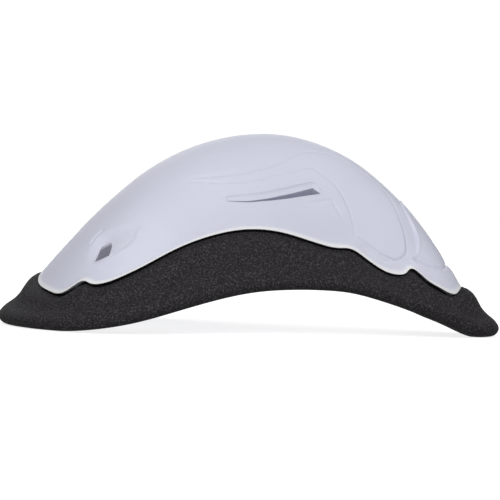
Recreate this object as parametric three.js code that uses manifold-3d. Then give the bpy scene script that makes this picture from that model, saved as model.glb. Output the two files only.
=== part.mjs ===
// Groin guard: a hard hollow cup seated in a soft closed rim. Millimetres, +Z up.
// X runs from the wide belly end (-X) to the narrow crotch end (+X), Y across, and both sides are alike.
// It lies dome up, on the two belly corners and the crotch tip of the rim.
import * as THREE from "three";
import { mergeVertices } from "three/addons/utils/BufferGeometryUtils.js";
import Module from "manifold-3d";

const TOP_X = 4; // the dome is highest here
const WALL = 2.2; // shell thickness
const GAP = 0.4; // clearance between the shell and its seat in the rim
const TONGUE = 2.8; // how far the rim reaches up behind the shell
const LEAN = 1; // the tongue's top keeps this much more clear of the shell
const PAD = 5.4; // thickness of the rim at the seam
const LIP = 2.5; // radius of the rim's outer lip
const REST = 2.6; // width of the flat that the rim lies on
const STEPS = 3; // stations between two rows of the table
const RINGS = 10; // facets from the top to the seam

// Half of the rim, from the middle of the belly end to the middle of the crotch end.
// seam: the shell's lower edge before the scallops are cut.
// crown: the dome's height on the middle line at the same X.
// bend: half the arc, in degrees, that the dome turns through across the part there.
// lip: the outer edge of the rim in plan.
// crest: how far the rim's upper edge stands proud (+) or short (-) of the shell's face.
// under: the height of the rim's underside.
const COLUMNS = ["seamX", "seamY", "seamZ", "crown", "bend", "lipX", "lipY", "crest", "under"];
const RIM = [
  [-64.1, 0, 14.6, 14.6, 26, -76, 0, 0, 0],
  [-63.3, 12.5, 13.2, 15.5, 28, -74.6, 14.5, -0.1, 0],
  [-60.9, 23.4, 11.5, 18.3, 34, -70.8, 27, -0.3, 0],
  [-56.3, 33, 11, 23.3, 44, -64.2, 39, -0.5, 0],
  [-49.5, 40, 12.4, 31, 53, -55, 48.6, -0.6, 0],
  [-41.6, 43.4, 14.4, 38.9, 58, -44, 54, -0.6, 1],
  [-32.2, 42.2, 18.2, 46.9, 60, -32.2, 55, -0.6, 3.2],
  [-22.1, 37.6, 23.9, 53, 60, -20.6, 51, -0.6, 6.5],
  [-11.8, 32.2, 28.2, 57, 60, -9.3, 45.2, -0.6, 9.8],
  [-1.5, 27.5, 30.4, 59, 60, 1.5, 39.6, -0.6, 12.2],
  [8.9, 23.7, 29.9, 59.1, 60, 11.9, 35, -0.6, 13.2],
  [19.3, 20.5, 27.1, 56.9, 60, 22.3, 31.4, -0.6, 13.3],
  [29.7, 17.8, 24.2, 52.4, 60, 32.7, 28.4, -0.6, 12.4],
  [39.2, 15.9, 20.9, 45.6, 60, 42.6, 26, -0.6, 9.9],
  [48.3, 14.1, 17.7, 36.8, 60, 52.6, 23.4, -0.6, 6.8],
  [56.3, 11.9, 15, 26.7, 55, 62.8, 19.4, -0.5, 3.1],
  [62, 7.6, 13.8, 18.3, 44, 71.7, 12, 0, 0],
  [64.4, 0, 14.2, 14.2, 36, 76, 0, 0.6, 0],
].map((row) => Object.fromEntries(COLUMNS.map((name, k) => [name, row[k]])));

// Scallops along the shell's lower edge: where, how far they rise (+) or hang (-), and half their reach.
const SCALLOPS = [
  { x: -54.9, rise: -0.8, reach: 4 },
  { x: -49.4, rise: 2.2, reach: 3.2 },
  { x: -41.2, rise: -0.5, reach: 5 },
  { x: 30.7, rise: 1.4, reach: 4 },
  { x: 44.4, rise: -1, reach: 4 },
  { x: 50.3, rise: 3, reach: 2.8 },
  { x: 60.3, rise: -1.2, reach: 3.5 },
];

// Slope of the rim from its crest to its lip: how much of the drop is done at each share of the way out.
const FLARE = [
  { out: 0.1, down: 0.02 },
  { out: 0.26, down: 0.13 },
  { out: 0.4, down: 0.29 },
  { out: 0.54, down: 0.46 },
  { out: 0.76, down: 0.67 },
  { out: 0.92, down: 0.84 },
];

// Openings through each side of the shell, as seen from the side. They slope down inwards, like a louvre.
const SLOT = {
  outline: [
    { x: -5, z: 38.1 },
    { x: 8.6, z: 39.4 },
    { x: 20.3, z: 41.6 },
    { x: 18.4, z: 43.2 },
    { x: 8, z: 40.9 },
    { x: -5, z: 38.9 },
  ],
  face: { y: 23.4, perX: -0.4 }, // how far out the shell's face is, at X = 0 and per millimetre of X
  slope: 1.1,
};
const VENT = {
  outline: [
    { x: -45, z: 19.8 },
    { x: -40.7, z: 21.6 },
    { x: -40, z: 24.9 },
    { x: -40.9, z: 25.5 },
    { x: -43.5, z: 24.1 },
  ],
  face: { y: 35, perX: 0 },
  slope: 0.5,
};
const CUT = { inner: 8, outer: 56 }; // the openings are cut from here to here across

const wasm = await Module();
wasm.setup();

const HALF = RIM.length - 1;
const LOOP = 2 * HALF; // rows of the whole ring

// A smooth closed curve through one column of the table, mirrored to the other half with the given sign.
function around(column, sign) {
  const values = [];
  for (let i = 0; i < LOOP; i++) values.push(i > HALF ? sign * RIM[LOOP - i][column] : RIM[i][column]);
  const pull = [...values];
  for (let pass = 0; pass < 40; pass++)
    for (let i = 0; i < LOOP; i++)
      pull[i] = (6 * values[i] - pull[(i + LOOP - 1) % LOOP] - pull[(i + 1) % LOOP]) / 4;
  return (t) => {
    const i = Math.floor(t);
    const f = t - i;
    const p = (k) => pull[(i + k + 2 * LOOP) % LOOP];
    const near = (4 - 6 * f * f + 3 * f ** 3) * p(0) + (1 + 3 * f + 3 * f * f - 3 * f ** 3) * p(1);
    return ((1 - f) ** 3 * p(-1) + near + f ** 3 * p(2)) / 6;
  };
}

const curve = {};
for (const column of Object.keys(RIM[0])) curve[column] = around(column, column.endsWith("Y") ? -1 : 1);

// The place on the half rim where the seam has this x, found by halving.
function placeOf(x) {
  let low = 1e-3;
  let high = HALF - 1e-3;
  for (let pass = 0; pass < 36; pass++) {
    const middle = (low + high) / 2;
    if (curve.seamX(middle) < x) low = middle;
    else high = middle;
  }
  return low;
}

// The dome's height: across the part it is an arc from the crown down to the seam on each side.
function domeZ(x, y) {
  const t = placeOf(x);
  const bend = THREE.MathUtils.degToRad(curve.bend(t));
  const lean = Math.min(1, (Math.abs(y) * Math.sin(bend)) / curve.seamY(t));
  const drop = (1 - Math.sqrt(1 - lean * lean)) / (1 - Math.cos(bend));
  return curve.crown(t) - (curve.crown(t) - curve.seamZ(t)) * drop;
}

// A point of the dome on the straight way, seen from above, from its top (0) to the seam (1).
function onFace(t, share) {
  const x = TOP_X + (curve.seamX(t) - TOP_X) * share;
  const y = curve.seamY(t) * share;
  return new THREE.Vector3(x, y, domeZ(x, y));
}

function normalAt(t, share) {
  const h = 0.05;
  const p = onFace(t, share);
  const x = THREE.MathUtils.clamp(p.x, RIM[0].seamX + 3 * h, RIM[HALF].seamX - 3 * h);
  const slopeX = (domeZ(x + h, p.y) - domeZ(x - h, p.y)) / (2 * h);
  const slopeY = (domeZ(x, p.y + h) - domeZ(x, p.y - h)) / (2 * h);
  return new THREE.Vector3(-slopeX, -slopeY, 1).normalize();
}

function onDome(t, share, off) {
  return onFace(t, share).addScaledVector(normalAt(t, share), off);
}

// Where the scalloped edge lies on that way.
function edgeShare(t) {
  let rise = 0;
  for (const s of SCALLOPS) rise += s.rise * Math.exp(-(((curve.seamX(t) - s.x) / s.reach) ** 2));
  const side = Math.min(1, Math.abs(curve.seamY(t)) / 8); // the two ends are plain
  const fall = (onFace(t, 0.96).z - onFace(t, 1).z) / 0.04;
  return 1 - (side * rise) / fall;
}

// The rim's section at a station, from the tongue's top over the crest and the lip and back under.
function rimSection(t) {
  const edge = onFace(t, edgeShare(t));
  const normal = normalAt(t, edgeShare(t));
  const round = onFace(t + 0.05, 1).sub(onFace(t - 0.05, 1));
  const down = normal.clone().cross(round).normalize();
  const at = (further, off) => edge.clone().addScaledVector(down, further).addScaledVector(normal, off);
  const seat = -(WALL + GAP);
  const under = Math.max(0, curve.under(t));
  const crest = at(GAP, curve.crest(t));
  const tip = new THREE.Vector3(curve.lipX(t), curve.lipY(t), under + LIP);
  const path = [at(-TONGUE, seat - LEAN), at(-TONGUE / 2, seat - LEAN / 3), at(GAP, seat), crest];
  for (const f of FLARE) {
    const p = crest.clone().lerp(tip, f.out);
    p.z = crest.z + (tip.z - crest.z) * f.down;
    path.push(p);
  }
  const inward = crest.clone().sub(tip).setZ(0).normalize();
  const fromTip = (back, z) => tip.clone().addScaledVector(inward, back).setZ(z);
  path.push(tip);
  path.push(fromTip(0.3 * LIP, under + 0.3 * LIP));
  path.push(fromTip(LIP, under));
  path.push(fromTip(LIP + REST, under));
  path.push(fromTip(LIP + REST + 2.2, under + 1.4));
  path.push(at(2, -PAD));
  path.push(at(-TONGUE / 2, 0.35 * seat - 0.65 * PAD));
  path.push(at(-TONGUE, seat - LEAN - 1.1));
  return path;
}

// The shell's section at a station, from the top down its face to the edge and up its inside.
function shellSection(t) {
  const path = [];
  for (let k = 0; k <= RINGS; k++) path.push(onDome(t, edgeShare(t) * (k / RINGS) ** 0.85, 0));
  for (let k = RINGS; k >= 0; k--) path.push(onDome(t, edgeShare(t) * (k / RINGS) ** 0.85, -WALL));
  return path;
}

// One closed skin through the sections of every station. An open section starts and ends on the top's axis.
function skin(section, closed) {
  const rings = [];
  for (let i = 0; i < LOOP * STEPS; i++) rings.push(section(i / STEPS));
  const count = rings[0].length;
  const points = [];
  const faces = [];
  for (const ring of rings) for (const p of ring) points.push(p.x, p.y, p.z);
  const at = (i, k) => (i % rings.length) * count + (k % count);
  for (let i = 0; i < rings.length; i++)
    for (let k = 0; k < (closed ? count : count - 1); k++) {
      faces.push(at(i, k), at(i + 1, k), at(i, k + 1));
      faces.push(at(i + 1, k), at(i + 1, k + 1), at(i, k + 1));
    }
  const geometry = new THREE.BufferGeometry();
  geometry.setAttribute("position", new THREE.Float32BufferAttribute(points, 3));
  geometry.setIndex(faces);
  return geometry;
}

function toSolid(geometry) {
  const merged = mergeVertices(geometry, 1e-4);
  const tri = [];
  for (let i = 0; i < merged.index.count; i += 3) {
    const [a, b, c] = [0, 1, 2].map((k) => merged.index.getX(i + k));
    if (a !== b && b !== c && a !== c) tri.push(a, b, c);
  }
  const vertProperties = new Float32Array(merged.getAttribute("position").array);
  return new wasm.Manifold(new wasm.Mesh({ numProp: 3, vertProperties, triVerts: new Uint32Array(tri) }));
}

function toGeometry(solid) {
  const mesh = solid.getMesh();
  const geometry = new THREE.BufferGeometry();
  geometry.setAttribute("position", new THREE.BufferAttribute(new Float32Array(mesh.vertProperties), 3));
  geometry.setIndex(new THREE.BufferAttribute(new Uint32Array(mesh.triVerts), 1));
  geometry.computeVertexNormals();
  return geometry;
}

// A cutter through one side (+1 or -1) with the opening's outline and slope.
function cutter(opening, side) {
  const shape = new THREE.Shape(opening.outline.map((p) => new THREE.Vector2(p.x, p.z)));
  const prism = new THREE.ExtrudeGeometry(shape, { depth: CUT.outer - CUT.inner, bevelEnabled: false });
  prism.rotateX(Math.PI / 2); // the outline's height turns up, and the depth runs to -Y
  prism.translate(0, side > 0 ? CUT.outer : -CUT.inner, 0);
  prism.deleteAttribute("normal");
  prism.deleteAttribute("uv");
  const place = prism.getAttribute("position");
  for (let i = 0; i < place.count; i++) {
    const face = opening.face.y + opening.face.perX * place.getX(i);
    place.setZ(i, place.getZ(i) + (Math.abs(place.getY(i)) - face) * opening.slope);
  }
  return toSolid(prism);
}

let cup = toSolid(skin(shellSection, false));
for (const side of [1, -1]) for (const opening of [SLOT, VENT]) cup = cup.subtract(cutter(opening, side));

const plastic = new THREE.MeshStandardMaterial({ color: 0xdfe1ea, roughness: 0.45, metalness: 0 });
const foam = new THREE.MeshStandardMaterial({ color: 0x2b2829, roughness: 0.9, metalness: 0 });

const group = new THREE.Group();
function add(name, solid, material) {
  const mesh = new THREE.Mesh(toGeometry(solid), material);
  mesh.name = name;
  group.add(mesh);
}
add("shell", cup, plastic);
add("foam_rim", toSolid(skin(rimSection, true)), foam);

export default group;
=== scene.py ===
"""A groin guard lying dome up: a hard white shell, moulded in layers, seated in a soft black foam rim.

Shapes are worked out in millimetres and written to the meshes in metres.
X runs from the wide belly end to the narrow crotch end, Y across, Z up out of the dome.
"""

import math

import bpy
import numpy as np
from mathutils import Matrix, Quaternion, Vector


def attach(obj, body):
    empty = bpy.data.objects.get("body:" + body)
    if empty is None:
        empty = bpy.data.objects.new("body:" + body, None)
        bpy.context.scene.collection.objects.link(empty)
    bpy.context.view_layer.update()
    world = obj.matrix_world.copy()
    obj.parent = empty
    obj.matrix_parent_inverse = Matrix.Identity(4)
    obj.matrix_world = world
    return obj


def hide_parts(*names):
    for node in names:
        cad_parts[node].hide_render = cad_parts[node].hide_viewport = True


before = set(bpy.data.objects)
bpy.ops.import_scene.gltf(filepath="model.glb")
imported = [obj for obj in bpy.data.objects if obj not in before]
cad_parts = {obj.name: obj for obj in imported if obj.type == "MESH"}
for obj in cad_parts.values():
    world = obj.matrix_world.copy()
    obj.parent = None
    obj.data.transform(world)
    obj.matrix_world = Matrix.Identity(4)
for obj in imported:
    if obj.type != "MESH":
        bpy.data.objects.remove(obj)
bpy.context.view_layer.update()  # the imported meshes, now loose in world space

MM = 0.001

# The construction's driving sizes.
TOP_X = 4  # the dome is highest here
WALL = 2.2  # shell thickness
GAP = 0.4  # clearance between the shell and its seat in the rim
TONGUE = {"side": 3.4, "end": 5.4, "from_x": 38, "to_x": 46}  # how far the rim reaches up behind the shell
LEAN = 1  # the tongue's top keeps this much more clear of the shell
TONGUE_TOP = 1.1  # thickness of the tongue at its top
TONGUE_BACK = 0.65  # halfway up, its back is this far between the seat and the rim's back
SEAT_ROW = 0.8  # a row of points this far in across the seat's floor keeps its inner corner crisp
PAD = {"thick": 5.4, "low": 2}  # thickness of the rim, reached this far below the shell's edge
LIP = 2.5  # radius of the rim's outer lip
REST = 2.6  # width of the flat that the rim lies on
HEEL = {"back": 2.2, "up": 1.4}  # the underside leaves that flat by way of this point

# Half of the rim, from the middle of the belly end to the middle of the crotch end.
# seam: the shell's lower edge before its scallops. crown: the dome's height on the middle line at the same X.
# bend: half the arc, in degrees, that the dome turns through across the part.
# lip: the rim's outer edge in plan. under: the height of the rim's underside.
# crest: how far the rim's upper edge stands proud (+) or short (-) of the shell's face.
RIM_COLUMNS = ("seam_x", "seam_y", "seam_z", "crown", "bend", "lip_x", "lip_y", "crest", "under")
RIM = (
    (-64.1, 0, 14.1, 14.1, 26, -75.5, 0, 0.1, 0),
    (-63.3, 12.5, 12.9, 14.8, 28, -74.2, 14.5, 0, 0),
    (-60.9, 23.4, 11.5, 17.8, 34, -70.6, 27, -0.2, 0),
    (-56.3, 33, 11, 23.3, 44, -64.2, 39, -0.5, 0),
    (-49.5, 40, 12.4, 31, 53, -55, 48.6, -0.6, 0),
    (-41.6, 43.4, 14.4, 38.9, 58, -44, 54, -0.6, 1),
    (-32.2, 42.2, 18.2, 46.9, 60, -32.2, 55, -0.6, 3.2),
    (-22.1, 37.6, 23.9, 53, 60, -20.6, 51, -0.6, 6.5),
    (-11.8, 32.2, 28.2, 57, 60, -9.3, 45.2, -0.6, 9.8),
    (-1.5, 27.5, 30.4, 59, 60, 1.5, 39.6, -0.6, 12.2),
    (8.9, 23.7, 29.9, 59.1, 60, 11.9, 35, -0.6, 13.2),
    (19.3, 20.5, 27.1, 56.9, 60, 22.3, 31.4, -0.6, 13.3),
    (29.7, 17.8, 24.2, 52.4, 60, 32.7, 28.4, -0.6, 12.4),
    (39.2, 15.9, 20.9, 45.6, 60, 42.6, 26, -0.6, 9.9),
    (48.3, 14.1, 17.7, 36.8, 60, 52.6, 23.4, -0.6, 6.8),
    (56.3, 11.9, 15, 26.7, 55, 62.8, 19.4, -0.5, 3.1),
    (62, 7.6, 13.8, 18.3, 44, 72.1, 12, 0.3, 0),
    (64.4, 0, 14.2, 14.2, 36, 76.5, 0, 1.1, 0),
)
HALF = len(RIM) - 1
LOOP = 2 * HALF  # stations round the whole rim, one to a row

# Scallops along the shell's lower edge: where, how far they rise (+) or hang (-), and half their reach.
SCALLOPS = (
    {"x": -55, "rise": -0.75, "reach": 3},
    {"x": -51.9, "rise": -0.95, "reach": 2.8},
    {"x": -49.4, "rise": 2, "reach": 3.2},
    {"x": -40.6, "rise": -0.5, "reach": 5},
    {"x": 30.7, "rise": 1.4, "reach": 4},
    {"x": 41, "rise": -1.3, "reach": 5},
    {"x": 50.3, "rise": 3, "reach": 2.8},
    {"x": 60.3, "rise": -1.2, "reach": 3.5},
)
LAST_SHARE = 0.04  # the dome's fall at the seam is taken over this share of the way down
SMALL_SHARE = 0.01  # and its direction at the shell's edge over this one
PLAIN_END = 8  # the scallops fade this near the two ends of the middle line
END_RISE = {"belly": 2, "belly_reach": 12, "crotch": 0.5, "crotch_reach": 5}  # and the edge rises there

# Slope of the rim from its crest to its lip: how much of the drop is done at each share of the way out.
FLARE = (
    (0, 0), (0.1, 0.03), (0.25, 0.13), (0.36, 0.26), (0.44, 0.39), (0.53, 0.52), (0.67, 0.652),
    (0.855, 0.786), (0.965, 0.91), (1, 1),
)

# Lines of the shell's relief as (x, across): across is 0 on the middle line and 1 at the seam.
WING_TOP = (
    (-18.3, 0.56), (-10.9, 0.605), (-3.6, 0.625), (2.9, 0.593), (8.2, 0.533), (13.6, 0.40), (17.2, 0.33),
    (21.2, 0.28), (26, 0.24), (31.4, 0.235), (39.7, 0.27), (42.4, 0.34), (44.3, 0.45),
)
WING_END = (
    (44.3, 0.45), (45.5, 0.55), (46.5, 0.67), (46.9, 0.78), (45.9, 0.86), (43.8, 0.915), (41, 0.925),
    (38.3, 0.92), (34.3, 0.895), (31.6, 0.885),
)
WING_LOW = (
    (31.6, 0.885), (31.1, 0.86), (30.3, 0.80), (29, 0.73), (27, 0.645), (24.5, 0.58), (21.3, 0.54),
    (17.8, 0.515), (14.7, 0.553), (11.8, 0.598), (8.3, 0.636), (4.9, 0.665), (0.9, 0.688), (-3, 0.693),
    (-9.7, 0.668), (-18.3, 0.592),
)
NOSE_EDGE = (
    (45.6, -0.17), (45.3, 0), (45.6, 0.17), (46.9, 0.275), (48.2, 0.345), (49.4, 0.42), (50.3, 0.5),
    (50.7, 0.587), (50.7, 0.66), (50.2, 0.75), (48.6, 0.835),
)
FOLD = (
    (48.6, 0.835), (49.7, 0.819), (51.8, 0.8), (53.9, 0.772), (56.3, 0.705), (59.2, 0.51), (59.95, 0),
    (59.2, -0.51),
)
HEM = ((33.6, 0.922), (35.4, 0.932), (37.2, 0.941), (38.9, 0.951), (40.2, 0.956), (41.4, 0.955))
APRON_EDGE = ((8, 0.85), (16.3, 0.795), (23.2, 0.718), (24.3, 0.73), (25.7, 0.77), (27.5, 0.83), (28.5, 0.95))
SCOOP_TOP = ((-31.4, 0.732), (-33.3, 0.701), (-36.3, 0.672), (-38.9, 0.65), (-41.2, 0.622), (-43.5, 0.581))
BROW = ((-43.5, 0.581), (-44.2, 0.58), (-45.1, 0.587), (-45.8, 0.605), (-46.5, 0.626))
SCOOP_END = ((-46.5, 0.626), (-48, 0.7), (-47.4, 0.82), (-44.8, 0.875), (-40.2, 0.86))
SCOOP_LOW = (
    (-40.2, 0.84), (-37.6, 0.829), (-35.9, 0.825), (-34.8, 0.817), (-33.4, 0.796), (-32.4, 0.766),
    (-31.4, 0.732),
)
BELOW = 1.3  # outlines of the relief are closed this far down, under the seam
PAST_TOE = (66, -0.6)  # and here past the crotch end
FINE_LINES = (WING_TOP, WING_END, WING_LOW, NOSE_EDGE, FOLD, HEM, APRON_EDGE, BROW, SCOOP_LOW)

# The shell's plates overlap like scales: how far each rises over the one before, and how wide its edge is.
# They come in along the part between from_x and to_x, and change on the way down between high and low.
WING = {"rise": 0.25, "soft": 0.6, "from_x": -14, "to_x": 16}
PANEL = {"rise": 0.25, "soft": 0.6, "high": 0.8, "low": 1.0, "sink": 0.1, "from_x": 22, "to_x": 31}
APRON = {"rise": 0.12, "soft": 0.6, "from_x": 9, "to_x": 20, "high": 0.74, "low": 0.84}
VALLEY = {"wing": -0.25, "nose": -0.65, "soft": 0.6, "high": 0.25, "low": 0.55, "from_x": 31, "to_x": 36}
NOSE = {"level": 0.25, "soft": 0.6, "ridge": 0.27, "reach": 0.4, "high": 0.6, "low": 0.83}
TOE = {"level": 0.4, "soft": 3.0}
CREASE = {"depth": 0.4, "reach": 0.42, "hollow": 0.4, "width": 2.4, "from_x": 48, "to_x": 51}
SCOOP = {"deep": 1.5, "tip_x": -31.4, "deep_x": -40.5, "wall": 0.8, "top": 2.5, "rest": 1, "back": 5}
BROW_GROOVE = {"depth": 0.36, "reach": 0.5}
SCORE = {
    "wing_top": {"depth": 0.5, "reach": 0.5}, "wing_low": {"depth": 0.34, "reach": 0.4},
    "wing_end": {"depth": 0.17, "reach": 0.4}, "hem": {"depth": 0.2, "reach": 0.5},
    "apron": {"depth": 0.25, "reach": 0.45}, "scoop": {"depth": 0.28, "reach": 0.4},
}
SCORE_FADE = {"from_x": -22, "to_x": -8, "less": 0.6}  # the wing's lines start gently and end finer

# The louvre on each side: a step pressed into the face between two lines, and the slot along its lower edge.
LOUVRE_TOP = ((-7.5, 0.776), (1, 0.777), (8.3, 0.735), (14.5, 0.666), (17.7, 0.625), (19, 0.624))
LOUVRE_LOW = (
    (-7.5, 0.81), (-3.9, 0.826), (-0.5, 0.834), (3.3, 0.827), (6.6, 0.815), (10.9, 0.787), (15.7, 0.741),
    (20.9, 0.685),
)
LOUVRE_DEEP = {"left": 0.28, "right": 0.5, "top": 0.18}  # at the slot's ends, and its share along the top
LOUVRE_TAPER = {"left": 0.4, "right": 0.5, "top": 0.7}  # how much narrower the step is at its bottom
LOUVRE_BULGE = 0.9  # its right end is rounded by this
SLOT_TOP = (
    (-6.8, 0.811), (-3.9, 0.822), (-0.5, 0.827), (3.5, 0.815), (6.6, 0.797), (10.8, 0.76), (14.5, 0.717),
    (18.2, 0.666),
)
SLOT_LOW = (
    (-6.8, 0.8145), (-3.9, 0.828), (-0.5, 0.836), (3.3, 0.829), (6.6, 0.817), (10.9, 0.789), (15.7, 0.743),
    (20.9, 0.687),
)
SLOT_SLOPE = 0.6  # it slopes down inwards
SLOT_START = 0.6  # and its upper edge starts this far down the louvre's step
SLOT_BACKING = {"deep": 1.4, "reach": 3}  # the wall is thicker behind the slot and this far round it
VENT = (
    (-44.9, 0.832), (-40.7, 0.843), (-40.3, 0.8), (-40.1, 0.736), (-40.4, 0.713), (-41, 0.703),
    (-43.1, 0.703), (-43.6, 0.719),
)
VENT_SLOPE = 1.5  # it too slopes down inwards, from the bottom of its scoop
VENT_SUNK = 0.5
CUT = {"outer": 4, "slot": 0.8, "inner": 9}  # how far the cutters reach out of and into the face

# Finish of the edges.
EDGE_ROUND = 0.2  # radius of the shell's lower edge
EDGE_UNDERCUT = {"spare": 0.15, "most": 2.6, "flattest": 0.3}  # the inside ends higher, out of sight
EDGE_FLARE = {"out": 0.4, "reach": 1.5}  # the shell turns out a little just above its lower edge
EDGE_PAINTED_HIGHLIGHT = {"full": 0.5, "none": 1.35}  # painted highlight: the plastic's colour is paler this near to its lower edge
EDGE_PLAIN = 12  # the edge is neither flared nor given its painted highlight this near to the middle of the belly end
CREST_ROUND = 0.5  # radius of the rim's upper edge

# How finely the curves and the meshes are divided.
HALF_STEPS = 8001
SHELL_ROUND = 360
SHELL_FACE_RINGS = 72
SHELL_INSIDE_RINGS = 16
EDGE_STEPS = (0.35, 0.2, 0.13, 0.06, 0.02, 0)  # rings of the rounded edge, in millimetres from its end
SHELL_RINGS = SHELL_FACE_RINGS + SHELL_INSIDE_RINGS + 2 * len(EDGE_STEPS) - 1
FINE_BAND = 1  # the face is divided four times finer this near to a relief line
FINE_CUTS = 3
RING_CROWD = 0.85  # below 1, the shell's rings lie closer together towards its edge
RIM_ROUND = 560
CREST_STEPS = 7  # points of the rim's section, on each of its parts
FLARE_STEPS = 4
LIP_STEPS = 9
BACK_STEPS = 5
LOUVRE_GRID = {"columns": 64, "rows": 6}
SLOT_GRID = {"columns": 48, "rows": 2}
CURVE_STEPS = 8  # points between two of a drawn line
NEAR = 8.0  # the relief of a line ends within this distance
SHELL_SMOOTH = math.radians(35)  # sharper edges than this stay sharp
RIM_SMOOTH = math.radians(50)

# The studio, in metres: the light all round, a key light high in front, a fill light behind, and the camera.
STUDIO_LIGHT = 0.355
WHITE = 1.02  # what the camera sees of the floor and the background
FLOOR = {"radius": 8, "drop": 0.0002, "tone": 0.6}
KEY = {"place": (-0.04, -1.55, 0.9), "size": 1.2, "power": 20}
FILL = {"place": (0, 1.6, 0.6), "size": 1.2, "power": 6}
CAMERA_ROUND = Vector((0, 0, 0.03))  # the camera stands at a distance from here
CAMERA_AWAY = 0.8
CAMERA_RISE = math.radians(0.8)
CAMERA_ROLL = math.radians(1.744)
CAMERA_AIM = Vector((0.0001, 0, 0.0239))
LENS = 189.3


# The dome.

def closed_curve(values):
    """A smooth closed curve through values at 0, 1, 2 and so on."""
    count = len(values)
    one = np.eye(count)
    pull = np.linalg.solve((4 * one + np.roll(one, 1, 0) + np.roll(one, -1, 0)) / 6, values)

    def at(t):
        base = np.floor(t).astype(int)
        f = t - base
        before, first, second, after = (pull[(base + k) % count] for k in (-1, 0, 1, 2))
        near = (4 - 6 * f**2 + 3 * f**3) * first + (1 + 3 * f + 3 * f**2 - 3 * f**3) * second
        return ((1 - f) ** 3 * before + near + f**3 * after) / 6

    return at


def ring_curves():
    """Each column of the rim's table as a curve round the whole rim. Y turns over on the other half."""
    curves = {}
    for k, name in enumerate(RIM_COLUMNS):
        half = [row[k] for row in RIM]
        sign = -1 if name.endswith("_y") else 1
        curves[name] = closed_curve(np.array(half + [sign * v for v in half[-2:0:-1]], float))
    return curves


curve = ring_curves()
half_places = np.linspace(0, HALF, HALF_STEPS)
half_seam_x = curve["seam_x"](half_places)


def arc_at(x):
    """The arc across the dome at x: its crown, its drop to the seam, its half width and its half angle."""
    t = np.interp(x, half_seam_x, half_places)
    crown = curve["crown"](t)
    half_width = np.maximum(curve["seam_y"](t), 1e-6)
    return crown, crown - curve["seam_z"](t), half_width, np.radians(curve["bend"](t))


def dome_height(x, y):
    crown, fall, half_width, bend = arc_at(x)
    lean = np.minimum(1, np.abs(y) * np.sin(bend) / half_width)
    return crown - fall * (1 - np.sqrt(1 - lean**2)) / (1 - np.cos(bend))


def across_at(x, y):
    """How far round the side a point is: 0 on the middle line, 1 at the seam."""
    _, _, half_width, bend = arc_at(x)
    return np.arcsin(np.minimum(1, np.abs(y) * np.sin(bend) / half_width)) / bend


def lifted(line):
    """Points of a relief line, given as x and across, as places on the dome."""
    x, across = np.array(line).T
    crown, fall, half_width, bend = arc_at(x)
    turn = across * bend
    y = half_width * np.sin(turn) / np.sin(bend)
    return np.stack([x, y, crown - fall * (1 - np.cos(turn)) / (1 - np.cos(bend))], -1)


def on_face(t, share):
    """A place of the dome on the straight way, seen from above, from its top (0) to the seam (1)."""
    x = TOP_X + (curve["seam_x"](t) - TOP_X) * share
    y = curve["seam_y"](t) * share
    return np.stack([x, y, dome_height(x, y)], -1)


def normal_at(place):
    h = 0.05
    x = np.clip(place[..., 0], half_seam_x[0] + 3 * h, half_seam_x[-1] - 3 * h)
    y = place[..., 1]
    slope_x = (dome_height(x + h, y) - dome_height(x - h, y)) / (2 * h)
    slope_y = (dome_height(x, y + h) - dome_height(x, y - h)) / (2 * h)
    return unit(np.stack([-slope_x, -slope_y, np.ones_like(x)], -1))


def unit(v):
    return v / np.maximum(np.linalg.norm(v, axis=-1, keepdims=True), 1e-9)


def edge_share(t):
    """Where the scalloped edge lies on the way from the top to the seam."""
    seam_x = curve["seam_x"](t)
    rise = sum(s["rise"] * np.exp(-(((seam_x - s["x"]) / s["reach"]) ** 2)) for s in SCALLOPS)
    seam_y = curve["seam_y"](t)
    side = np.minimum(1, np.abs(seam_y) / PLAIN_END)
    belly = END_RISE["belly"] * bead(seam_y, END_RISE["belly_reach"])
    crotch = END_RISE["crotch"] * bead(seam_y, END_RISE["crotch_reach"])
    end = np.where(seam_x < 0, belly, crotch)
    fall = (on_face(t, 1 - LAST_SHARE)[..., 2] - on_face(t, np.ones_like(t))[..., 2]) / LAST_SHARE
    return 1 - (side * rise + end) / fall


# The relief.

def eased(v):
    v = np.clip(v, 0, 1)
    return v * v * (3 - 2 * v)


def drawn(points, steps=CURVE_STEPS):
    """A smooth line through a few points."""
    p = np.array(points, float)
    p = np.concatenate([2 * p[:1] - p[1:2], p, 2 * p[-1:] - p[-2:-1]])
    f = (np.arange(steps) / steps)[None, :, None]
    a, b, c, d = (p[k : len(p) - 3 + k, None] for k in range(4))
    line = b + 0.5 * f * (c - a + f * (2 * a - 5 * b + 4 * c - d + f * (3 * (b - c) + d - a)))
    return np.concatenate([line.reshape(-1, p.shape[1]), p[-2:-1]])


def distance(places, line):
    """How far each place is from a line on the dome. Past NEAR it is only known to be far."""
    ends = lifted(line)
    nearest = np.full(len(places), NEAR)
    close = np.all((places > ends.min(0) - NEAR) & (places < ends.max(0) + NEAR), axis=1)
    near_places = places[close]
    found = nearest[close]
    for a, b in zip(ends[:-1], ends[1:]):
        way = b - a
        f = np.clip((near_places - a) @ way / max(way @ way, 1e-9), 0, 1)
        found = np.minimum(found, np.linalg.norm(near_places - a - f[:, None] * way, axis=1))
    nearest[close] = found
    return nearest


def inside(flat, outline):
    """Which places, as x and across, lie in a closed outline."""
    found = np.zeros(len(flat), bool)
    x, y = flat.T
    for (ax, ay), (bx, by) in zip(outline, np.roll(outline, -1, 0)):
        if ay != by:
            found ^= ((ay > y) != (by > y)) & (x < ax + (y - ay) * (bx - ax) / (by - ay))
    return found


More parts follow.
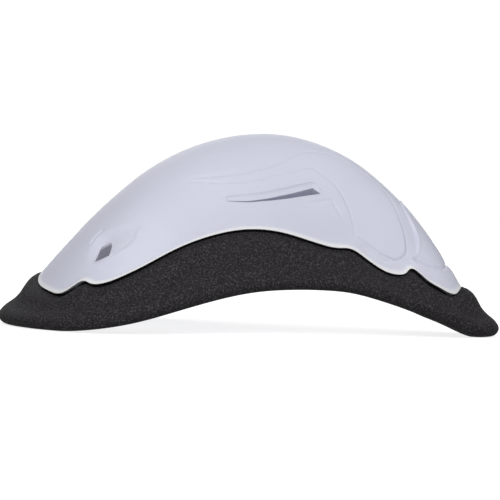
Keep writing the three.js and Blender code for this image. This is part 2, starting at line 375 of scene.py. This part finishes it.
class Face:
    """The places of one side's surface, both halves folded onto +Y, to draw the relief on."""

    def __init__(self, places):
        self.places = places.copy()
        self.places[:, 1] = np.abs(places[:, 1])
        self.flat = np.stack([places[:, 0], across_at(places[:, 0], places[:, 1])], -1)
        self.x, self.across = self.flat.T

    def depth_in(self, *lines):
        """How far inside an outline, made of lines end to end, each place is. Outside it is negative."""
        outline = np.concatenate([drawn(line) if len(line) > 2 else np.array(line) for line in lines])
        outline = np.concatenate([outline, outline[:1]])
        far = distance(self.places, outline)
        return np.where(inside(self.flat, outline), far, -far)

    def along(self, line):
        return distance(self.places, drawn(line))

    def fade(self, from_x, to_x):
        return eased((self.x - from_x) / (to_x - from_x))


def step(depth, soft):
    """0 outside an edge and 1 inside it, changing over the width soft."""
    return eased(depth / soft + 0.5)


def bead(far, reach):
    """1 on a line, falling to 0 beside it."""
    return np.exp(-((far / reach) ** 2))


def below(start, end):
    """The way back under the seam from the end of one line to the start of another."""
    return (start[0], BELOW), (end[0], BELOW)


def relief(face):
    """Height of the moulded layers over the smooth dome."""
    fades_in = face.fade(WING["from_x"], WING["to_x"])
    sunk = PANEL["sink"] * face.fade(PANEL["from_x"], PANEL["to_x"])
    low_down = eased((PANEL["low"] - sunk - face.across) / (PANEL["low"] - PANEL["high"]))
    wing = step(face.depth_in(WING_TOP, WING_END[1:], below(WING_END[-1], WING_TOP[0])), WING["soft"])
    panel = step(face.depth_in(WING_LOW[::-1], below(WING_LOW[0], WING_LOW[-1])), PANEL["soft"])
    apron = step(face.depth_in(APRON_EDGE, below(APRON_EDGE[-1], APRON_EDGE[0])), APRON["soft"])
    apron = apron * apron_fade(face)
    level = fades_in * low_down * (WING["rise"] * wing + PANEL["rise"] * panel + APRON["rise"] * apron)

    top = WING_TOP[-2:-4:-1]
    valley = face.depth_in(WING_END[::-1], top, NOSE_EDGE[2:], below(NOSE_EDGE[-1], WING_END[-1]))
    sinks = eased((face.across - VALLEY["high"]) / (VALLEY["low"] - VALLEY["high"]))
    valley = step(valley, VALLEY["soft"]) * sinks * face.fade(VALLEY["from_x"], VALLEY["to_x"])
    from_wing, from_nose = face.along(WING_END), face.along(NOSE_EDGE)
    stands_out = eased((NOSE["low"] - face.across) / (NOSE["low"] - NOSE["high"]))
    way = stands_out * from_wing / (from_wing + from_nose + 1e-6)
    level = level + valley * (VALLEY["wing"] + (VALLEY["nose"] - VALLEY["wing"]) * way - level)

    nose = step(face.depth_in(NOSE_EDGE, FOLD), NOSE["soft"])
    level = level + nose * (VALLEY["wing"] + (NOSE["level"] - VALLEY["wing"]) * stands_out - level)
    level = level + NOSE["ridge"] * stands_out * bead(from_nose, NOSE["reach"])
    toe = face.depth_in(FOLD, (PAST_TOE, *below(PAST_TOE, FOLD[0])))
    toe = step(toe - TOE["soft"] / 2, TOE["soft"])
    level = level + toe * (TOE["level"] - level)
    from_fold = face.along(FOLD)
    crease = CREASE["depth"] * bead(from_fold, CREASE["reach"])
    crease = crease + CREASE["hollow"] * nose * bead(from_fold, CREASE["width"])
    level = level - crease * face.fade(CREASE["from_x"], CREASE["to_x"])
    return level - score(face, fades_in) - scoop(face)


def apron_fade(face):
    """The apron comes in along the part and fades again on the way down."""
    low_down = eased((APRON["low"] - face.across) / (APRON["low"] - APRON["high"]))
    return face.fade(APRON["from_x"], APRON["to_x"]) * low_down


def score(face, fades_in):
    """Depth of the fine lines scored along the plates' edges."""
    def line(name, points):
        return SCORE[name]["depth"] * bead(face.along(points), SCORE[name]["reach"])

    wing = np.maximum(line("wing_top", WING_TOP), line("wing_low", WING_LOW))
    wing = wing * face.fade(SCORE_FADE["from_x"], SCORE_FADE["to_x"]) * (1 - SCORE_FADE["less"] * fades_in)
    ends = np.maximum(line("wing_end", WING_END), line("hem", HEM))
    apron = line("apron", APRON_EDGE) * apron_fade(face)
    return np.max([wing, ends, apron, line("scoop", SCOOP_LOW[:-2])], 0)


def scoop(face):
    """Depth of the ramp that sinks towards the vent, and of the groove over its far end."""
    within = face.depth_in(SCOOP_TOP, BROW, SCOOP_END, SCOOP_LOW) > 0
    ramp = np.clip((face.x - SCOOP["tip_x"]) / (SCOOP["deep_x"] - SCOOP["tip_x"]), 0, 1)
    ramp = ramp * eased(face.along(SCOOP_LOW) / SCOOP["wall"]) * eased(face.along(SCOOP_TOP) / SCOOP["top"])
    back = np.minimum(face.along(BROW), face.along(SCOOP_END)) - SCOOP["rest"]
    ramp = ramp * eased(back / (SCOOP["back"] - SCOOP["rest"]))
    groove = BROW_GROOVE["depth"] * bead(face.along(BROW), BROW_GROOVE["reach"])
    return SCOOP["deep"] * ramp * within + groove


# The meshes.

def start_modelling():
    bpy.ops.object.select_all(action="DESELECT")


def pick(piece):
    """Selects one piece alone, to work on it."""
    start_modelling()
    piece.select_set(True)
    bpy.context.view_layer.objects.active = piece


def smooth(piece, angle):
    pick(piece)
    bpy.ops.object.shade_smooth_by_angle(angle=angle)


def shape(piece, places):
    """Moves every vertex of a piece to its place, given in millimetres."""
    piece.data.vertices.foreach_set("co", (places * MM).astype(np.float32).ravel())
    piece.data.update()


def vertex_places(piece):
    places = np.empty(len(piece.data.vertices) * 3, np.float32)
    piece.data.vertices.foreach_get("co", places)
    return places.reshape(-1, 3).astype(float)


def station_of(places):
    """The place round the rim, from the belly end over +Y, that a vertex of a round primitive stands for."""
    return ((math.pi - np.arctan2(places[:, 1], places[:, 0])) / (2 * math.pi) * LOOP) % LOOP


def apply_modifier(piece, kind, **settings):
    bpy.context.view_layer.objects.active = piece
    modifier = piece.modifiers.new(kind.lower(), kind)
    for name, value in settings.items():
        setattr(modifier, name, value)
    bpy.ops.object.modifier_apply(modifier=modifier.name)


def face_outwards(piece):
    bpy.context.view_layer.objects.active = piece
    bpy.ops.object.mode_set(mode="EDIT")
    bpy.ops.mesh.select_all(action="SELECT")
    bpy.ops.mesh.normals_make_consistent(inside=False)
    bpy.ops.object.mode_set(mode="OBJECT")


def prism_cutter(name, outer, inner):
    """A closed prism from one outline to another with as many points."""
    start_modelling()
    bpy.ops.mesh.primitive_circle_add(vertices=len(outer), fill_type="NGON")
    piece = bpy.context.object
    piece.name = name
    bpy.ops.object.mode_set(mode="EDIT")
    bpy.ops.mesh.select_all(action="SELECT")
    bpy.ops.mesh.extrude_region_move(TRANSFORM_OT_translate={"value": (0, 0, 1)})
    bpy.ops.object.mode_set(mode="OBJECT")
    places = vertex_places(piece)
    turn = np.arctan2(places[:, 1], places[:, 0])
    order = np.round((turn - turn[0]) / (2 * math.pi) * len(outer)).astype(int) % len(outer)
    shape(piece, np.where(places[:, 2:] > 0.5, np.array(inner)[order], np.array(outer)[order]))
    face_outwards(piece)
    return piece


def block_cutter(name, grid, levels, place_of):
    """A flat block, pulled up level by level, then pressed to the places that place_of gives."""
    start_modelling()
    bpy.ops.mesh.primitive_grid_add(x_subdivisions=grid["columns"], y_subdivisions=grid["rows"], size=2)
    piece = bpy.context.object
    piece.name = name
    bpy.ops.object.mode_set(mode="EDIT")
    bpy.ops.mesh.select_all(action="SELECT")
    for _ in range(levels - 1):
        bpy.ops.mesh.extrude_region_move(TRANSFORM_OT_translate={"value": (0, 0, 1)})
    bpy.ops.object.mode_set(mode="OBJECT")
    places = vertex_places(piece)
    across, down = ((places[:, k] + 1) / 2 for k in (0, 1))
    shape(piece, place_of(across, down, np.round(places[:, 2]).astype(int)))
    face_outwards(piece)
    return piece


def between(top, low, along, down):
    """Places on the dome between two lines: along from start to end, down from one to the other."""
    ends = []
    for line in (drawn(top), drawn(low)):
        x = line[0, 0] + (line[-1, 0] - line[0, 0]) * along
        ends.append(np.stack([x, np.interp(x, *line.T)], -1))
    return lifted(ends[0] + (ends[1] - ends[0]) * down[:, None])


def plate_rise(x):
    """How far the panel round the louvre is raised over the dome."""
    return (WING["rise"] + PANEL["rise"]) * eased((x - WING["from_x"]) / (WING["to_x"] - WING["from_x"]))


def louvre_depth(x, down):
    """How far the louvre's step is pressed in, from its top line (0) down to its slot (1)."""
    share = np.clip((x - LOUVRE_LOW[0][0]) / (LOUVRE_LOW[-1][0] - LOUVRE_LOW[0][0]), 0, 1)
    at_slot = LOUVRE_DEEP["left"] + (LOUVRE_DEEP["right"] - LOUVRE_DEEP["left"]) * share
    return at_slot * (LOUVRE_DEEP["top"] + (1 - LOUVRE_DEEP["top"]) * down)


def louvre_cutter(side):
    """The step's bottom, its outline at the face, and the same outline clear of the face."""
    length = LOUVRE_LOW[-1][0] - LOUVRE_LOW[0][0]

    def place_of(along, down, level):
        bottom = level == 0
        start = bottom * LOUVRE_TAPER["left"] / length
        end = 1 - bottom * LOUVRE_TAPER["right"] * (1 - down**3) / length
        place = between(LOUVRE_TOP, LOUVRE_LOW, start + (end - start) * along, down)
        place[:, 0] += (along > 0.999) * LOUVRE_BULGE * 4 * down * (1 - down)
        place[:, 2] -= bottom * LOUVRE_TAPER["top"] * (1 - down)
        out = np.where(bottom, -louvre_depth(place[:, 0], down), np.where(level == 1, 0, CUT["outer"]))
        out = out + plate_rise(place[:, 0])
        place[:, 1] = side * (place[:, 1] + out)
        return place

    return block_cutter("louvre_cutter", LOUVRE_GRID, 3, place_of)


def slot_cutter(side):
    """The slot's upper edge starts at the bottom of its louvre, and its lower edge at the face."""
    def place_of(along, down, level):
        place = between(SLOT_TOP, SLOT_LOW, along, down)
        out = np.where(level > 0, CUT["slot"], -CUT["inner"])
        place[:, 2] += (out + louvre_depth(place[:, 0], SLOT_START) * (1 - down)) * SLOT_SLOPE
        place[:, 1] = side * (place[:, 1] + out + plate_rise(place[:, 0]))
        return place

    return block_cutter("slot_cutter", SLOT_GRID, 2, place_of)


def vent_cutter(side):
    outline = lifted(VENT)
    rings = []
    for out in (CUT["outer"], -CUT["inner"]):
        rings.append((outline + (0, out, (out + VENT_SUNK) * VENT_SLOPE)) * (1, side, 1))
    return prism_cutter("vent_cutter", *rings)


def edge_undercut(t, edge):
    """How much higher the inside ends, so that seen from the side the edge is only a line."""
    h = 0.02
    way = on_face(t + h, edge_share(t + h)) - on_face(t - h, edge_share(t - h))
    fall = unit(on_face(t, edge) - on_face(t, edge - SMALL_SHARE))
    up = unit(np.stack([-way[:, 2], np.zeros_like(t), way[:, 0]], -1))
    up = up * -np.sign(np.sum(up * fall, 1))[:, None]
    lean = np.sum(normal_at(on_face(t, edge)) * up, 1)
    rises = np.maximum(-np.sum(up * fall, 1), EDGE_UNDERCUT["flattest"])
    needed = (WALL * lean + EDGE_UNDERCUT["spare"]) / rises
    return np.clip(needed, 0, EDGE_UNDERCUT["most"])


def shell_layout(ball):
    """What each vertex of the ball stands for: its place on the dome, how far that is from the lower edge in
    millimetres, and whether it is on the face or the inside."""
    t = station_of(ball)
    height = ball[:, 2] / np.linalg.norm(ball, axis=1)
    ring = np.arccos(np.clip(height, -1, 1)) / math.pi * SHELL_RINGS
    outside = ring < SHELL_FACE_RINGS + len(EDGE_STEPS) - 0.5
    from_top = np.where(outside, ring, SHELL_RINGS - ring)
    main = np.where(outside, SHELL_FACE_RINGS, SHELL_INSIDE_RINGS)

    edge = edge_share(t)
    per_share = np.linalg.norm(on_face(t, edge) - on_face(t, edge - SMALL_SHARE), axis=1) / SMALL_SHARE
    edge = edge - np.where(outside, 0, edge_undercut(t, edge) / per_share)
    to_edge = np.interp(from_top - main, np.arange(len(EDGE_STEPS)), EDGE_STEPS)
    main_share = (edge - EDGE_STEPS[0] / per_share) * np.minimum(1, from_top / main) ** RING_CROWD
    share = np.where(from_top < main, main_share, edge - to_edge / per_share)
    return on_face(t, share), (edge - share) * per_share, outside


def divide_along_lines(piece):
    """Divides the faces of the ball that will lie along a relief line."""
    place, left, outside = shell_layout(vertex_places(piece))
    face = Face(place)
    lines = np.min([face.along(line) for line in FINE_LINES], 0) < FINE_BAND
    backing = face.depth_in(SLOT_TOP, SLOT_LOW[::-1]) > -SLOT_BACKING["reach"]
    near = np.where(outside, lines & (left > EDGE_STEPS[0]), backing)
    pick(piece)
    bpy.ops.object.mode_set(mode="EDIT")
    bpy.ops.mesh.select_mode(type="FACE")
    bpy.ops.mesh.select_all(action="DESELECT")
    bpy.ops.object.mode_set(mode="OBJECT")
    for polygon in piece.data.polygons:
        polygon.select = any(near[v] for v in polygon.vertices)
    bpy.ops.object.mode_set(mode="EDIT")
    bpy.ops.mesh.subdivide(number_cuts=FINE_CUTS)
    bpy.ops.object.mode_set(mode="OBJECT")


def make_shell():
    """A ball pushed in from below: its upper half is the face, its lower half the inside."""
    start_modelling()
    bpy.ops.mesh.primitive_uv_sphere_add(segments=SHELL_ROUND, ring_count=SHELL_RINGS)
    piece = bpy.context.object
    piece.name = "moulded_shell"
    divide_along_lines(piece)

    place, left, outside = shell_layout(vertex_places(piece))
    rolled = EDGE_ROUND - np.sqrt(EDGE_ROUND**2 - np.clip(EDGE_ROUND - left, 0, EDGE_ROUND) ** 2)
    lift = rolled - WALL
    edged = np.where(place[:, 0] < 0, eased(np.abs(place[:, 1]) / EDGE_PLAIN), 1)
    flare = edged * EDGE_FLARE["out"] * eased(1 - left / EDGE_FLARE["reach"])
    lift[outside] = relief(Face(place[outside])) + (flare - rolled)[outside]
    backing = 1 + Face(place).depth_in(SLOT_TOP, SLOT_LOW[::-1]) / SLOT_BACKING["reach"]
    backing = np.where(outside, 0, SLOT_BACKING["deep"] * eased(backing))
    place = place + normal_at(place) * lift[:, None]
    place[:, 1] -= np.sign(place[:, 1]) * backing
    shape(piece, place)
    # Painted highlight: the colour is made paler near the lower edge, standing in for light catching that
    # edge.
    painted_highlight = edged * eased((EDGE_PAINTED_HIGHLIGHT["none"] - left) / (EDGE_PAINTED_HIGHLIGHT["none"] - EDGE_PAINTED_HIGHLIGHT["full"]))
    highlight_attribute = piece.data.attributes.new("edge_painted_highlight", "FLOAT", "POINT")
    highlight_attribute.data.foreach_set("value", np.where(outside, painted_highlight, 0).astype(np.float32))

    for side in (1, -1):
        for make in (louvre_cutter, slot_cutter, vent_cutter):
            tool = make(side)
            apply_modifier(piece, "BOOLEAN", object=tool, operation="DIFFERENCE", solver="MANIFOLD")
            bpy.data.objects.remove(tool)
    smooth(piece, SHELL_SMOOTH)
    return piece


def rim_section(t):
    """The foam's section at each station: from the crest over the lip, under, and up to the tongue."""
    share = edge_share(t)
    edge = on_face(t, share)
    normal = normal_at(edge)
    along = on_face(t + 0.05, np.ones_like(t)) - on_face(t - 0.05, np.ones_like(t))
    down = unit(np.cross(normal, along))
    seat = -(WALL + GAP)
    crest = curve["crest"](t)
    under = np.maximum(0, curve["under"](t))
    nearer = (np.abs(edge[:, 0]) - TONGUE["from_x"]) / (TONGUE["to_x"] - TONGUE["from_x"])
    high = TONGUE["side"] + (TONGUE["end"] - TONGUE["side"]) * eased(nearer)
    tip = np.stack([curve["lip_x"](t), curve["lip_y"](t), under + LIP], -1)

    def at(further, off):
        further, off = (np.broadcast_to(v, t.shape)[:, None] for v in (further, off))
        return edge + further * down + off * normal

    def rows(*points):
        return np.stack(points, 1)

    turn = np.linspace(0, math.pi / 2, CREST_STEPS)
    crest_arc = rows(*(
        at(GAP + CREST_ROUND * (1 - math.cos(a)), crest - CREST_ROUND * (1 - math.sin(a))) for a in turn
    ))
    top = crest_arc[:, -1]
    flare = []
    for out, fall in drawn(FLARE, FLARE_STEPS)[1:]:
        p = top + (tip - top) * out
        p[:, 2] = top[:, 2] + (tip[:, 2] - top[:, 2]) * fall
        flare.append(p)

    inward = unit((top - tip) * (1, 1, 0))

    def from_tip(back, height):
        p = tip + back * inward
        p[:, 2] = under + height
        return p

    lip_turn = np.linspace(0, math.pi / 2, LIP_STEPS)[1:]
    lip = rows(*(from_tip(LIP * (1 - math.cos(a)), LIP * (1 - math.sin(a))) for a in lip_turn))
    rest = rows(from_tip(LIP + REST / 2, 0), from_tip(LIP + REST, 0))
    back_points = np.stack([
        from_tip(LIP + REST, 0),
        from_tip(LIP + REST + HEEL["back"], HEEL["up"]),
        at(PAD["low"], -PAD["thick"]),
        at(-high / 2, (1 - TONGUE_BACK) * seat - TONGUE_BACK * PAD["thick"]),
        at(-high, seat - LEAN - TONGUE_TOP),
    ])
    back = drawn(back_points.reshape(len(back_points), -1), BACK_STEPS)[1:]
    back = back.reshape(-1, len(t), 3).swapaxes(0, 1)
    tongue = rows(
        at(-high, seat - LEAN), at(-high / 2, seat - LEAN / 3), at(GAP, seat), at(GAP, SEAT_ROW * seat),
    )
    return np.concatenate([crest_arc, rows(*flare), lip, rest, back, tongue], 1)


def make_rim():
    """A ring whose section is pressed to the foam's."""
    stations = np.arange(RIM_ROUND) * LOOP / RIM_ROUND
    sections = rim_section(stations)
    count = sections.shape[1]
    start_modelling()
    bpy.ops.mesh.primitive_torus_add(
        major_segments=RIM_ROUND, minor_segments=count, major_radius=1, minor_radius=0.25,
    )
    piece = bpy.context.object
    piece.name = "foam_pad"
    ring = vertex_places(piece)
    station = np.round(station_of(ring) * RIM_ROUND / LOOP).astype(int) % RIM_ROUND
    turn = np.arctan2(ring[:, 2], np.hypot(ring[:, 0], ring[:, 1]) - 1)
    point = np.round(-turn / (2 * math.pi) * count).astype(int) % count
    shape(piece, sections[station, point])
    smooth(piece, RIM_SMOOTH)
    return piece


# The finishes.

def new_material(name):
    material = bpy.data.materials.new(name)
    material.use_nodes = True
    nodes, links = material.node_tree.nodes, material.node_tree.links
    return material, nodes, links, nodes["Principled BSDF"]


def noise(nodes, links, coordinate, scale, detail=2.0, roughness=0.5):
    texture = nodes.new("ShaderNodeTexNoise")
    texture.inputs["Scale"].default_value = scale
    texture.inputs["Detail"].default_value = detail
    texture.inputs["Roughness"].default_value = roughness
    links.new(coordinate.outputs["Object"], texture.inputs["Vector"])
    return texture


def ramp(nodes, links, source, stops):
    """Colours or greys set out along a texture's value."""
    node = nodes.new("ShaderNodeValToRGB")
    while len(node.color_ramp.elements) < len(stops):
        node.color_ramp.elements.new(0.5)
    for element, (place, colour) in zip(node.color_ramp.elements, stops):
        element.position = place
        element.color = (*colour, 1)
    links.new(source, node.inputs["Fac"])
    return node


def bump(nodes, links, height, depth, strength, base=None):
    node = nodes.new("ShaderNodeBump")
    node.inputs["Distance"].default_value = depth * MM
    node.inputs["Strength"].default_value = strength
    links.new(height, node.inputs["Height"])
    if base:
        links.new(base.outputs["Normal"], node.inputs["Normal"])
    return node


def satin_plastic():
    """White moulded plastic with a cool cast, a faint mottle, a painted highlight that makes the lower edges
    paler, and the finest orange peel.
    """
    material, nodes, links, surface = new_material("satin_plastic")
    coordinate = nodes.new("ShaderNodeTexCoord")
    mottle = noise(nodes, links, coordinate, 45)
    tone = ramp(nodes, links, mottle.outputs["Fac"], (
        (0.3, (0.690, 0.704, 0.827)), (0.7, (0.718, 0.732, 0.855)),
    ))
    # Painted highlight: the base colour is mixed towards near-white along the shell's lower edge, by the
    # attribute set on the shell.
    edge = nodes.new("ShaderNodeAttribute")
    edge.attribute_name = "edge_painted_highlight"
    highlighted = nodes.new("ShaderNodeMix")
    highlighted.data_type = "RGBA"
    highlighted.inputs["B"].default_value = (0.97, 0.975, 0.99, 1)
    links.new(edge.outputs["Fac"], highlighted.inputs["Factor"])
    links.new(tone.outputs["Color"], highlighted.inputs["A"])
    links.new(highlighted.outputs["Result"], surface.inputs["Base Color"])
    haze = noise(nodes, links, coordinate, 400, 3)
    gloss = ramp(nodes, links, haze.outputs["Fac"], ((0.3, (0.42,) * 3), (0.7, (0.5,) * 3)))
    links.new(gloss.outputs["Color"], surface.inputs["Roughness"])
    peel = noise(nodes, links, coordinate, 1500, 2)
    fine = bump(nodes, links, peel.outputs["Fac"], 0.02, 0.25)
    links.new(fine.outputs["Normal"], surface.inputs["Normal"])
    surface.inputs["Specular IOR Level"].default_value = 0.3
    surface.inputs["Subsurface Weight"].default_value = 0.25
    surface.inputs["Subsurface Radius"].default_value = (1, 1, 1)
    surface.inputs["Subsurface Scale"].default_value = 3 * MM
    return material


def grained_foam():
    """Black closed-cell foam whose skin is a fine, slightly shiny grain."""
    material, nodes, links, surface = new_material("grained_foam")
    coordinate = nodes.new("ShaderNodeTexCoord")
    grain = noise(nodes, links, coordinate, 1900, 2, 0.6)
    tone = ramp(nodes, links, grain.outputs["Fac"], (
        (0.30, (0.012, 0.011, 0.0123)), (0.52, (0.027, 0.0247, 0.0275)), (0.72, (0.088, 0.082, 0.0905)),
    ))
    links.new(tone.outputs["Color"], surface.inputs["Base Color"])
    cells = nodes.new("ShaderNodeTexVoronoi")
    cells.inputs["Scale"].default_value = 1500
    links.new(coordinate.outputs["Object"], cells.inputs["Vector"])
    pitted = bump(nodes, links, cells.outputs["Distance"], 0.12, 0.5)
    rough = bump(nodes, links, grain.outputs["Fac"], 0.15, 0.6, pitted)
    links.new(rough.outputs["Normal"], surface.inputs["Normal"])
    surface.inputs["Roughness"].default_value = 0.75
    surface.inputs["Specular IOR Level"].default_value = 0.12
    return material


def white_floor():
    """So bright that the floor and the background are one white."""
    material, _, _, surface = new_material("white_floor")
    surface.inputs["Base Color"].default_value = (*[FLOOR["tone"]] * 3, 1)
    surface.inputs["Roughness"].default_value = 1
    surface.inputs["Specular IOR Level"].default_value = 0
    surface.inputs["Emission Color"].default_value = (1, 1, 1, 1)
    surface.inputs["Emission Strength"].default_value = WHITE - FLOOR["tone"] * STUDIO_LIGHT
    return material


# The object.

def finish_piece(piece, node, material):
    piece.data.materials.clear()
    piece.data.materials.append(material)
    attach(piece, "root")
    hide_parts(node)


shell = make_shell()
finish_piece(shell, "shell", satin_plastic())
rim = make_rim()
finish_piece(rim, "foam_rim", grained_foam())


# The stage: floor, light and camera.

def make_floor():
    start_modelling()
    place = (0, 0, -FLOOR["drop"])
    bpy.ops.mesh.primitive_circle_add(vertices=96, radius=FLOOR["radius"], fill_type="NGON", location=place)
    floor = bpy.context.object
    floor.name = "floor"
    floor.data.materials.append(white_floor())
    floor.visible_diffuse = False  # the floor looks white, and throws no light up at the object
    floor.visible_glossy = False


def area_light(name, place, size, power):
    """A soft square light that faces the object."""
    data = bpy.data.lights.new(name, "AREA")
    data.size = size
    data.energy = power
    light = bpy.data.objects.new(name, data)
    light.location = place
    light.rotation_mode = "QUATERNION"
    light.rotation_quaternion = (CAMERA_AIM - Vector(place)).to_track_quat("-Z", "Y")
    bpy.context.scene.collection.objects.link(light)


def make_light():
    """A white studio whose walls look brighter than the light they give, and two soft lights."""
    world = bpy.data.worlds.new("white_studio")
    world.use_nodes = True
    nodes, links = world.node_tree.nodes, world.node_tree.links
    walls = nodes["Background"]
    walls.inputs["Color"].default_value = (1, 1, 1, 1)
    ray = nodes.new("ShaderNodeLightPath")
    strength = nodes.new("ShaderNodeMix")
    strength.inputs["A"].default_value = STUDIO_LIGHT
    strength.inputs["B"].default_value = WHITE
    links.new(ray.outputs["Is Camera Ray"], strength.inputs["Factor"])
    links.new(strength.outputs["Result"], walls.inputs["Strength"])
    bpy.context.scene.world = world
    bpy.context.scene.view_settings.view_transform = "Standard"
    area_light("key_light", **KEY)
    area_light("fill_light", **FILL)


def make_camera():
    data = bpy.data.cameras.new("camera")
    data.lens = LENS
    data.clip_start = 0.01
    data.clip_end = 100
    camera = bpy.data.objects.new("camera", data)
    way = Vector((0, -math.cos(CAMERA_RISE), math.sin(CAMERA_RISE)))
    camera.location = CAMERA_ROUND + CAMERA_AWAY * way
    camera.rotation_mode = "QUATERNION"
    look = (CAMERA_AIM - camera.location).to_track_quat("-Z", "Y")
    camera.rotation_quaternion = look @ Quaternion((0, 0, 1), CAMERA_ROLL)
    bpy.context.scene.collection.objects.link(camera)
    bpy.context.scene.camera = camera


make_floor()
make_light()
make_camera()
